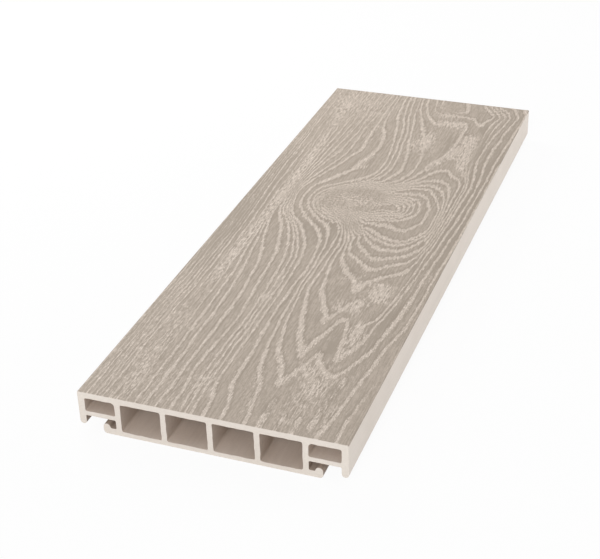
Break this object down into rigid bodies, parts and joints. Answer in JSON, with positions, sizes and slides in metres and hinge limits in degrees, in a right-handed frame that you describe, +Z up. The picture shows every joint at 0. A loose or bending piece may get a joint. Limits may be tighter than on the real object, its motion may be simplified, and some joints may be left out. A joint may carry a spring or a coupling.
{
  "type": "decking board",
  "caption": "Short length of hollow extruded deck board with a wood-grain face, inner chambers, hanging side skirts and hooked grooves below for hidden fixing clips.",
  "frame": {"origin": "on the floor plane under the middle of the board, at the centre of its flat base", "axes": "+X across the board, +Y along its length, +Z up through the grained deck face"},
  "size_m": [0.15, 0.424, 0.024],
  "materials": {
    "capped_plastic": "matte"
  },
  "bodies": {
    "root": {"deck_board": "capped_plastic"}
  },
  "joints": []
}
